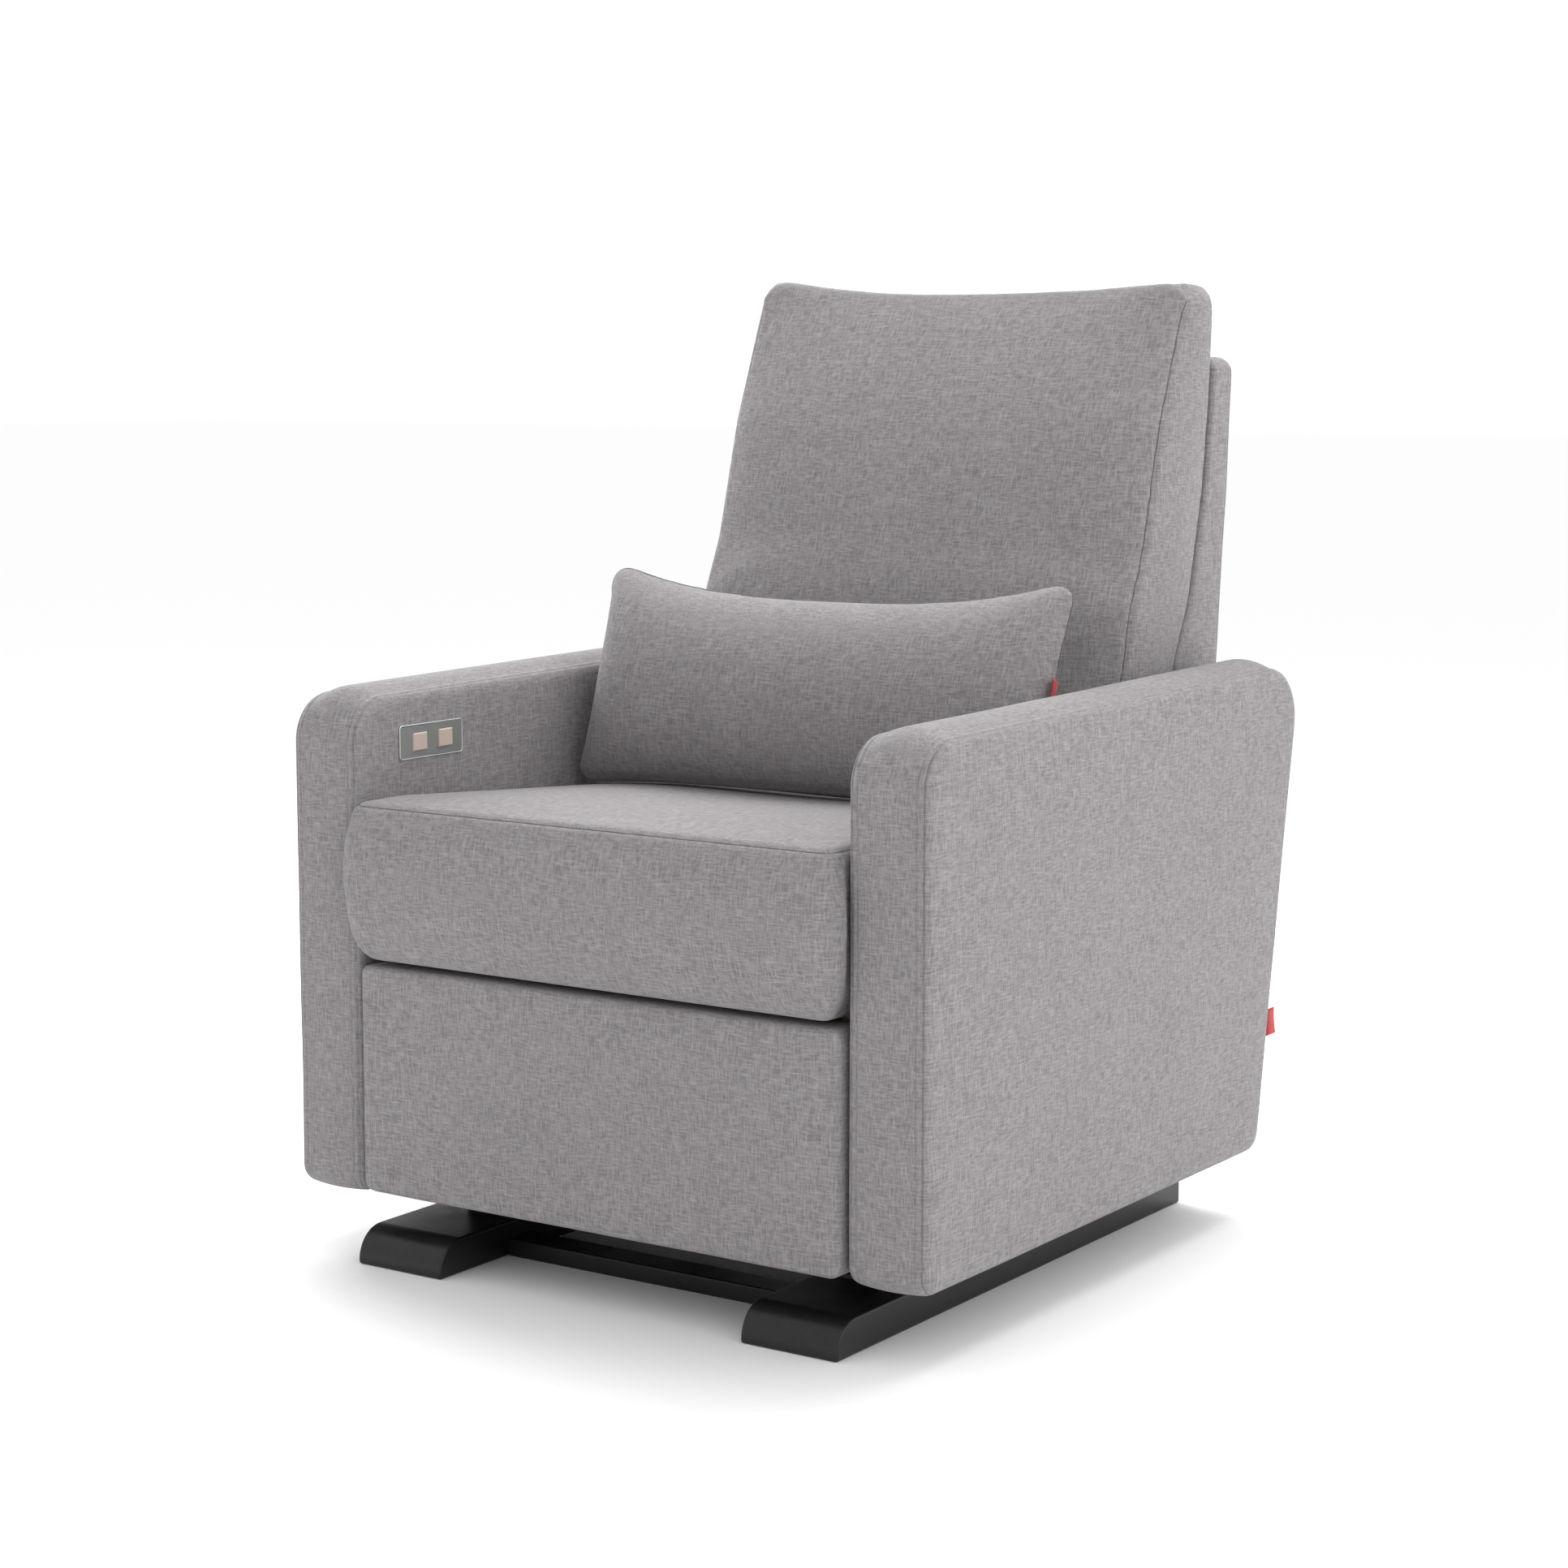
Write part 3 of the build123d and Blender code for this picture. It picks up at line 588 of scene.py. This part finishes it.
def stitch(obj, seam, radius=0.0010, sink=0.0005):
    """Lays a seam's thin rolled edge into the cloth and joins it to the piece. The roll is in a darker cloth
    that paints the shade in the seam's groove.
    """
    tree = BVHTree.FromPolygons([v.co for v in obj.data.vertices], [p.vertices for p in obj.data.polygons])
    path = []
    for point in seam:
        place, normal, _, _ = tree.find_nearest(Vector(point))
        path.append(place - normal * sink)
    path = np.array([tuple(p) for p in path])
    for _ in range(4):
        path = (np.roll(path, 1, 0) + path * 2 + np.roll(path, -1, 0)) / 4
    roll = welt(obj.name + "_seam", path, radius, PAINTED_SEAM_SHADE, closed=True)
    with bpy.context.temp_override(active_object=obj, object=obj, selected_editable_objects=[obj, roll],
                                   selected_objects=[obj, roll]):
        bpy.ops.object.join()


def finish_piece(obj, body, slot, *nodes):
    """Puts a finished piece on its body, in place of its CAD nodes."""
    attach(obj, body)
    if nodes:
        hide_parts(*nodes)


# ---- arms -------------------------------------------------------------------------------
def arm_ring():
    return rounded([
        (at(0.0), ARM_FLOOR, 0.021),
        (at(0.0), ARM_FRONT_TOP - ARM_CORD, 0.050),
        (at(ARM_REAR_HEAD), ARM_REAR_TOP - ARM_CORD, 0.060),
        (at(ARM_REAR_FOOT), ARM_FLOOR, 0.025),
    ])


# (c, inset) from a side panel's rim over its seam and top stitching to the band
ARM_EDGE = ((0.0, 0.0187), (0.0002, 0.0140), (0.0008, 0.0100), (0.0020, 0.0066), (0.0038, 0.0040),
            (0.0056, 0.0025), (0.0066, 0.0037), (0.0076, 0.0017), (0.0100, 0.0009),
            (0.0125, 0.0005), (0.0133, 0.0012), (0.0141, 0.0003), (0.0165, 0.0))
ARM_CROWN = (0.0015, 0.0078)        # how far the band's middle swells, in front and on top
ARM_BAND = (0.22, 0.27, 0.33, 0.41, 0.5, 0.59, 0.67, 0.73, 0.78)


def arm_section(ring):
    width = ARM_OUT - ARM_IN
    topness = np.clip(outward(ring)[:, 1], 0, 1) ** 2
    crown = ARM_CROWN[0] + (ARM_CROWN[1] - ARM_CROWN[0]) * topness
    band = [(width * t, -crown * (1 - ((2 * t - 1) / 0.64) ** 2)) for t in ARM_BAND]
    return list(ARM_EDGE) + band + [(width - c, inset) for c, inset in reversed(ARM_EDGE)]


def make_arm(side):
    """Arm on the sitter's left (side 1) or right (side -1)."""
    label = "left" if side > 0 else "right"

    def place(a, b, c):
        return (side * (ARM_OUT - c), a, b)

    ring = arm_ring()
    arm = shell(f"arm_{label}", ring, arm_section(ring), place, CLOTH, 0.0025, 0.0015, cap_rings=26)
    unevenness(arm, 0.0006, 0.13, 1 + side)
    finish_piece(arm, "seat_frame", "upholstery", f"arm_outer_panel_{label}", f"arm_inner_panel_{label}",
                 f"arm_band_{label}")


def make_control_edge():
    """Thin metal rim that frames the control plate, lighter than the plate: painted highlight along its
    edges.
    """
    low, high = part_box("control_plate")
    radius = 0.003
    ring = rounded([
        (low.y, low.z, radius),
        (high.y, low.z, radius),
        (high.y, high.z, radius),
        (low.y, high.z, radius),
    ], spacing=0.004)
    path = np.array([(high.x - 0.0003, a, b) for a, b in ring])
    edge = welt("control_edge", path, 0.0007, EDGE_HIGHLIGHT_METAL, closed=True)
    finish_piece(edge, "seat_frame", "control_metal")


# ---- seat cushion -----------------------------------------------------------------------
SEAT_HALF = 0.3005
SEAT_FRONT = -0.019
SEAT_REAR = 0.518
SEAT_UNDER = 0.3265
SEAT_SEAM = ((-0.03, 0.494), (0.05, 0.494), (0.209, 0.482), (0.353, 0.472), (0.52, 0.458))
LIP_HALF = 0.3135            # the lip in front of the arms swells no wider than this
SEAT_REST = 0.3235           # and the underside sags no lower than this

# share of the height, inset, and how much further the lip in front of the arms bulges
SEAT_WALL = ((0.0, 0.020, 0.0), (0.02, 0.0125, 0.0), (0.06, 0.006, 0.001), (0.12, 0.0015, 0.003),
             (0.2, -0.001, 0.005), (0.35, -0.003, 0.007), (0.5, -0.004, 0.008), (0.65, -0.004, 0.008),
             (0.8, -0.003, 0.006), (0.9, -0.001, 0.003), (0.96, 0.001, 0.001), (1.0, 0.004, 0.0))


def place_seat(a, b, c):
    top = float(np.interp(b - FRONT, [p[0] for p in SEAT_SEAM], [p[1] for p in SEAT_SEAM]))
    return (a, b, SEAT_UNDER + c * (top - SEAT_UNDER))


def make_seat_cushion():
    ring = rounded([
        (-SEAT_HALF, at(SEAT_REAR), 0.02),
        (-SEAT_HALF, at(SEAT_FRONT), 0.017),
        (SEAT_HALF, at(SEAT_FRONT), 0.017),
        (SEAT_HALF, at(SEAT_REAR), 0.02),
    ])
    proud = np.clip((at(0.012) - ring[:, 1]) / 0.02, 0, 1)
    wall = [(c, inset - bulge * proud) for c, inset, bulge in SEAT_WALL]
    cushion = shell("seat_cushion_cover", ring, wall, place_seat, CLOTH, 0.0, 0.030)
    inner = ring - outward(ring) * 0.003
    top_seam = along([place_seat(a, b, 1.0) for a, b in inner], closed=True)
    under_seam = along([place_seat(a, b, 0.0) for a, b in ring - outward(ring) * 0.016], closed=True)
    puff(cushion, [top_seam, under_seam], voxel=0.006, pressure=4.0, cap=0.018)
    co = coords(cushion)
    inside = np.clip((co[:, 1] - at(-0.010)) / 0.012, 0, 1)
    limit = LIP_HALF - 0.0120 * inside
    co[:, 0] = np.sign(co[:, 0]) * np.minimum(np.abs(co[:, 0]), limit)
    co[:, 2] = np.maximum(co[:, 2], SEAT_REST)
    set_coords(cushion, co)
    sew(cushion, top_seam, 0.0028, 0.0045)
    stitch(cushion, top_seam)
    finish_piece(cushion, "seat_frame", "upholstery", "seat_cushion")


# ---- back -------------------------------------------------------------------------------
BACK_REACH = 0.2965          # the cushion's sides swell this far from the middle


def crest(x):
    """Height of the back cushion's top edge: raised ears and a lower middle."""
    ear = 0.018 if x < 0 else 0.009
    return 1.0255 + ear * min(abs(x) / 0.25, 1.0) ** 2.2


def back_ring():
    half = BACK_HALF
    base = rounded([
        (-half, 0.365, 0.015),
        (half, 0.365, 0.015),
        (half - 0.004, 1.03, 0.028),
        (-half + 0.004, 1.03, 0.028),
    ])
    for point in base:
        share = np.clip((point[1] - 0.6) / 0.43, 0, 1)
        point[1] += (crest(point[0]) - 1.03) * share
    return base


def place_back(a, b, c):
    """c runs from 0 at the face seam to 1 at the rear seam."""
    front = depth_on(FACE_SEAM, b)
    rear = depth_on(REAR_SEAM, b)
    return (a, at(front + c * (rear - front)), b)


def make_back_cushion():
    ring = back_ring()
    wall = [(0.0, 0.004), (0.03, 0.001), (0.12, -0.002), (0.35, -0.005), (0.6, -0.005), (0.85, -0.002),
            (0.97, 0.001), (1.0, 0.004)]
    cushion = shell("back_cushion_cover", ring, wall, place_back, CLOTH, 0.28, 0.0)
    inner = ring - outward(ring) * 0.003
    over = 0.14 * np.clip((inner[:, 1] - 1.0) / 0.02, 0, 1)      # the seam runs over the top edge
    face_seam = along([place_back(a, b, c) for (a, b), c in zip(inner, over)], closed=True)
    rear_seam = along([place_back(a, b, 1.0) for a, b in inner], closed=True)
    puff(cushion, [face_seam, rear_seam], voxel=0.006, pressure=4.0, cap=0.02)
    co = coords(cushion)
    co[:, 0] = np.clip(co[:, 0], -BACK_REACH, BACK_REACH)
    behind = np.maximum(co[:, 1] - at(depth_on(FACE_SEAM, 1.0)), 0)
    co[:, 2] = np.minimum(co[:, 2], np.array([crest(x) for x in co[:, 0]]) + 0.0015 - 0.1 * behind)
    set_coords(cushion, co)
    sew(cushion, face_seam, 0.0028, 0.0045)
    stitch(cushion, face_seam)
    finish_piece(cushion, "back", "upholstery", "back_cushion")


def make_back_shell():
    """Upholstered outer back: rear face, rounded edges and the sides up to the cushion."""
    ring = rounded([
        (-BACK_HALF + 0.002, BACK_FOOT, 0.016),
        (BACK_HALF - 0.002, BACK_FOOT, 0.016),
        (BACK_HALF - 0.002, BACK_TOP, 0.018),
        (-BACK_HALF + 0.002, BACK_TOP, 0.018),
    ])
    lead = 0.02

    def place(a, b, c):
        rear = depth_on(BACK_REAR, b)
        room = rear - depth_on(REAR_SEAM, b) - lead - 0.002
        return (a, at(rear - (c if c <= lead else lead + (c - lead) * room)), b)

    edge = [(0.0, 0.014), (0.0008, 0.009), (0.0026, 0.0048), (0.0052, 0.0022), (0.0075, 0.0014),
            (0.0088, 0.0030), (0.0101, 0.0010), (0.013, 0.0), (lead, 0.0)]
    sides = [(lead + t, 0.0) for t in (0.25, 0.5, 0.75, 0.95)] + [(lead + 1.0, 0.004)]
    cover = shell("back_shell", ring, edge + sides, place, CLOTH, 0.003, 0.0, cap_rings=22)
    unevenness(cover, 0.0008, 0.12, 5)
    finish_piece(cover, "back", "upholstery", "outer_back_panel", "back_side_panels")


# ---- footrest panel and rear skirt --------------------------------------------------------
def pad_edge(radius):
    """Rounded rim of a flat padded panel, from its face to its side."""
    turns = [math.radians(90 * k / 5) for k in range(6)]
    return [(radius * (1 - math.sin(t)), radius * (1 - math.cos(t))) for t in reversed(turns)]


def make_footrest_panel():
    low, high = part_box("footrest_pad")
    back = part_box("footrest_board")[1].y
    ring = rounded([
        (low.x, low.z, 0.013),
        (high.x, low.z, 0.013),
        (high.x, high.z, 0.009),
        (low.x, high.z, 0.009),
    ])
    thick = back - low.y
    section = pad_edge(0.007) + [(thick * 0.5, 0.0), (thick - 0.006, 0.0), (thick - 0.001, 0.004)]

    def place(a, b, c):
        return (a, low.y + c, b)

    panel = shell("footrest_cover", ring, section, place, CLOTH, 0.004, 0.0, cap_rings=22)
    unevenness(panel, 0.0008, 0.12, 7)
    finish_piece(panel, "footrest_panel", "upholstery", "footrest_pad", "footrest_board")


def make_footrest_lining():
    """Dark cloth stapled over the back of the footrest panel."""
    low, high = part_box("footrest_pad")
    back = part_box("footrest_board")[1].y
    margin, radius = 0.014, 0.006
    ring = rounded([
        (low.x + margin, low.z + margin, radius),
        (high.x - margin, low.z + margin, radius),
        (high.x - margin, high.z - margin, radius),
        (low.x + margin, high.z - margin, radius),
    ])

    def place(a, b, c):
        return (a, back - 0.0012 + c, b)

    section = [(0.0, 0.0010), (0.0004, 0.0), (0.0014, 0.0), (0.0020, 0.0012)]
    lining = shell("footrest_lining", ring, section, place, DUST_CLOTH, cap_rings=18)
    finish_piece(lining, "footrest_panel", "dust_cloth")


def make_rear_skirt():
    low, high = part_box("rear_skirt")
    slope = (ARM_REAR_HEAD - ARM_REAR_FOOT) / (ARM_REAR_TOP - ARM_FLOOR)
    ring = rounded([
        (low.x, low.z, 0.01),
        (high.x, low.z, 0.01),
        (high.x, high.z, 0.01),
        (low.x, high.z, 0.01),
    ])

    def place(a, b, c):
        return (a, at(ARM_REAR_FOOT + slope * (b - ARM_FLOOR)) - c, b)

    section = pad_edge(0.006) + [(0.010, 0.0), (0.0155, 0.001)]
    skirt = shell("rear_skirt_cover", ring, section, place, CLOTH, 0.002, 0.0, cap_rings=18)
    unevenness(skirt, 0.0007, 0.12, 9)
    finish_piece(skirt, "seat_frame", "upholstery", "rear_skirt")


# ---- lumbar pillow ------------------------------------------------------------------------
PILLOW_MID = Vector((0.0, at(0.410), 0.5965))
PILLOW_LEAN = math.radians(18.3)
PILLOW_TURN = math.radians(2.0)
PILLOW_HALF = (0.295, 0.124)
PILLOW_THICK = 0.060
PILLOW_HEM = 0.0028           # half the thickness of its sewn edge


def on_pillow(x, forward, up):
    """Point from the pillow's own across, forward and up to the chair's frame."""
    c, s = math.cos(PILLOW_LEAN), math.sin(PILLOW_LEAN)
    y = up * s - forward * c
    ct, st = math.cos(PILLOW_TURN), math.sin(PILLOW_TURN)
    return (PILLOW_MID.x + x * ct - y * st,
            PILLOW_MID.y + x * st + y * ct,
            PILLOW_MID.z + forward * s + up * c)


def pillow_edges(x, up):
    """Half width at a height and half height at a place across: the edges pull in between ears."""
    half_w, half_h = PILLOW_HALF
    u, v = np.clip(np.abs(x) / half_w / 0.925, 0, 1), np.clip(np.abs(up) / half_h / 0.85, 0, 1)
    dip = 0.1425 + 0.0925 * np.tanh(np.asarray(up) / 0.03)
    return half_w * (1 - 0.022 * (1 - v ** 3)), half_h * (1 - dip * (1 - u ** 2.8))


def pillow_ring():
    half_w, half_h = PILLOW_HALF
    ring = rounded([
        (-half_w, -half_h, 0.022),
        (half_w, -half_h, 0.022),
        (half_w, half_h, 0.022),
        (-half_w, half_h, 0.018),
    ], spacing=0.006)
    wide, tall = pillow_edges(ring[:, 0], ring[:, 1])
    return np.stack([ring[:, 0] * wide / half_w, ring[:, 1] * tall / half_h], 1)


def pillow_swell(x, up):
    """Half thickness of the stuffed pillow, which thins towards its edges and flattens in its ears."""
    wide, tall = pillow_edges(x, up)
    ends = 1 - np.exp(-np.maximum(wide - np.abs(x), 0) / 0.036)
    edges = 1 - np.exp(-np.maximum(tall - np.abs(up), 0) / 0.034)
    return PILLOW_HEM + PILLOW_THICK * (ends * edges) ** 0.85


def make_pillow():
    ring = pillow_ring()
    count, layers = len(ring), 26
    points = [on_pillow(a, 0.0, b) for a, b in ring + outward(ring) * 0.001]
    faces = []
    for side in (1, -1):
        below = list(range(count))
        for k in range(layers + 1):
            this = list(range(len(points), len(points) + count))
            for a, b in ring * (1 - k / (layers + 1)):
                points.append(on_pillow(a, side * pillow_swell(a, b), b))
            for i in range(count):
                j = (i + 1) % count
                faces.append((below[i], below[j], this[j], this[i]))
            below = this
        points.append(on_pillow(0.0, side * pillow_swell(0.0, 0.0), 0.0))
        faces += [(below[i], below[(i + 1) % count], len(points) - 1) for i in range(count)]
    pillow = new_object("lumbar_pillow_cover", points, faces, CLOTH)
    seam = along([on_pillow(a, 0.0, b) for a, b in ring], closed=True)
    puff(pillow, [seam], voxel=0.005, pressure=3.0, cap=0.010)
    for side in (1, -1):
        foot = along([on_pillow(a, side * 0.006, b) for a, b in ring - outward(ring) * 0.005], closed=True)
        sew(pillow, foot, 0.0010, 0.005)
    hem = along([on_pillow(a, 0.0, b) for a, b in ring + outward(ring) * 0.01], closed=True)
    stitch(pillow, hem, 0.0011, 0.0)
    finish_piece(pillow, "lumbar_pillow", "pillow_cloth", "lumbar_pillow")


# ---- labels -------------------------------------------------------------------------------
def make_label(name, body, node, origin, out, down, length, height):
    """Folded woven label that stands out of a seam: a flattened loop with a slight curl."""
    origin, out, down = Vector(origin), Vector(out).normalized(), Vector(down).normalized()
    side = out.cross(down)
    outline = [(0.0, 0.0008), (0.5, 0.0009), (0.9, 0.0009), (1.0, 0.0),
               (0.9, -0.0009), (0.5, -0.0009), (0.0, -0.0008)]
    rows = 9
    points = []
    for k in range(rows):
        t = k / (rows - 1)
        for reach, half in outline:
            curl = 0.0014 * reach * reach * math.sin(math.pi * (0.2 + 0.7 * t))
            points.append(origin + out * (length * reach) + down * (height * t) + side * (half + curl))
    count = len(outline)
    faces = [tuple(range(count)), tuple((rows - 1) * count + i for i in range(count))]
    for k in range(rows - 1):
        for i in range(count):
            j = (i + 1) % count
            faces.append((k * count + i, k * count + j, (k + 1) * count + j, (k + 1) * count + i))
    label = new_object(name, points, faces, LABEL)
    finish_piece(label, body, "label_cloth", node)


def make_labels():
    low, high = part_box("arm_tag")
    make_label("arm_label", "seat_frame", "arm_tag", ((low.x + high.x) / 2, low.y, high.z),
               (0.0, 1.0, 0.0), (0.0, 0.12, -1.0), high.y - low.y, high.z - low.z)
    edge, _ = pillow_edges(PILLOW_HALF[0], 0.01)
    make_label("pillow_label", "lumbar_pillow", "pillow_tag", on_pillow(edge + 0.0005, -0.002, 0.021),
               Vector(on_pillow(0.12, 1.0, 0.0)) - Vector(on_pillow(0.0, 0.0, 0.0)),
               Vector(on_pillow(0.0, 0.0, -1.0)) - Vector(on_pillow(0.0, 0.0, 0.0)), 0.016, 0.022)


# ---- floor, lights and camera ---------------------------------------------------------------
def make_stage():
    size = 40.0
    floor = new_object("floor", [(-size, -size, 0), (size, -size, 0), (size, size, 0), (-size, size, 0)],
                       [(0, 1, 2, 3)], studio_floor())


def area_light(name, place, target, size, power):
    light = bpy.data.lights.new(name, "AREA")
    light.shape = "RECTANGLE"
    light.size, light.size_y = size
    light.energy = power
    obj = bpy.data.objects.new(name, light)
    obj.location = place
    obj.rotation_euler = (Vector(target) - Vector(place)).to_track_quat("-Z", "Y").to_euler()
    bpy.context.scene.collection.objects.link(obj)


def make_lights():
    """White room, a little dimmer high up in front, with softboxes above, beside and behind."""
    world = bpy.data.worlds.new("studio")
    world.use_nodes = True
    sky = world.node_tree.nodes["Background"]
    sky.inputs["Color"].default_value = (1.0, 1.0, 1.0, 1.0)
    links, nodes = world.node_tree.links, world.node_tree.nodes
    toward = nodes.new("ShaderNodeVectorMath")
    toward.operation = "DOT_PRODUCT"
    toward.inputs[1].default_value = (0.0, -0.77, 0.64)
    links.new(nodes.new("ShaderNodeTexCoord").outputs["Generated"], toward.inputs[0])
    dimmed = nodes.new("ShaderNodeMapRange")
    dimmed.interpolation_type = "SMOOTHSTEP"
    for key, number in zip(("From Min", "From Max", "To Min", "To Max"), (0.2, 0.8, 1.13, 0.89)):
        dimmed.inputs[key].default_value = number
    links.new(toward.outputs["Value"], dimmed.inputs["Value"])
    links.new(dimmed.outputs["Result"], sky.inputs["Strength"])
    bpy.context.scene.world = world
    middle = (0.0, 0.0, 0.5)
    area_light("overhead", (0.2, 0.9, 3.2), middle, (2.0, 2.0), 52.0)
    area_light("side_front", (3.2, -0.8, 1.6), middle, (1.8, 1.8), 9.0)
    area_light("side_rear", (3.0, 1.0, 1.6), middle, (1.8, 1.8), 15.0)
    area_light("far_rear", (-2.6, 1.2, 2.2), middle, (1.8, 1.8), 66.0)


def make_camera():
    camera = bpy.data.cameras.new("camera")
    camera.lens = 72.66
    camera.sensor_width = 36.0
    obj = bpy.data.objects.new("camera", camera)
    obj.location = (1.899, -2.855, 0.940)
    obj.rotation_euler = (math.radians(90 - 7.48), 0.0, math.radians(34.15))
    bpy.context.scene.collection.objects.link(obj)
    bpy.context.scene.camera = obj
    bpy.context.scene.view_settings.view_transform = "Standard"


paint_cad_nodes()
make_arm(1)
make_arm(-1)
make_control_edge()
make_seat_cushion()
make_back_cushion()
make_back_shell()
make_footrest_panel()
make_footrest_lining()
make_rear_skirt()
make_pillow()
make_labels()
make_stage()
make_lights()
make_camera()
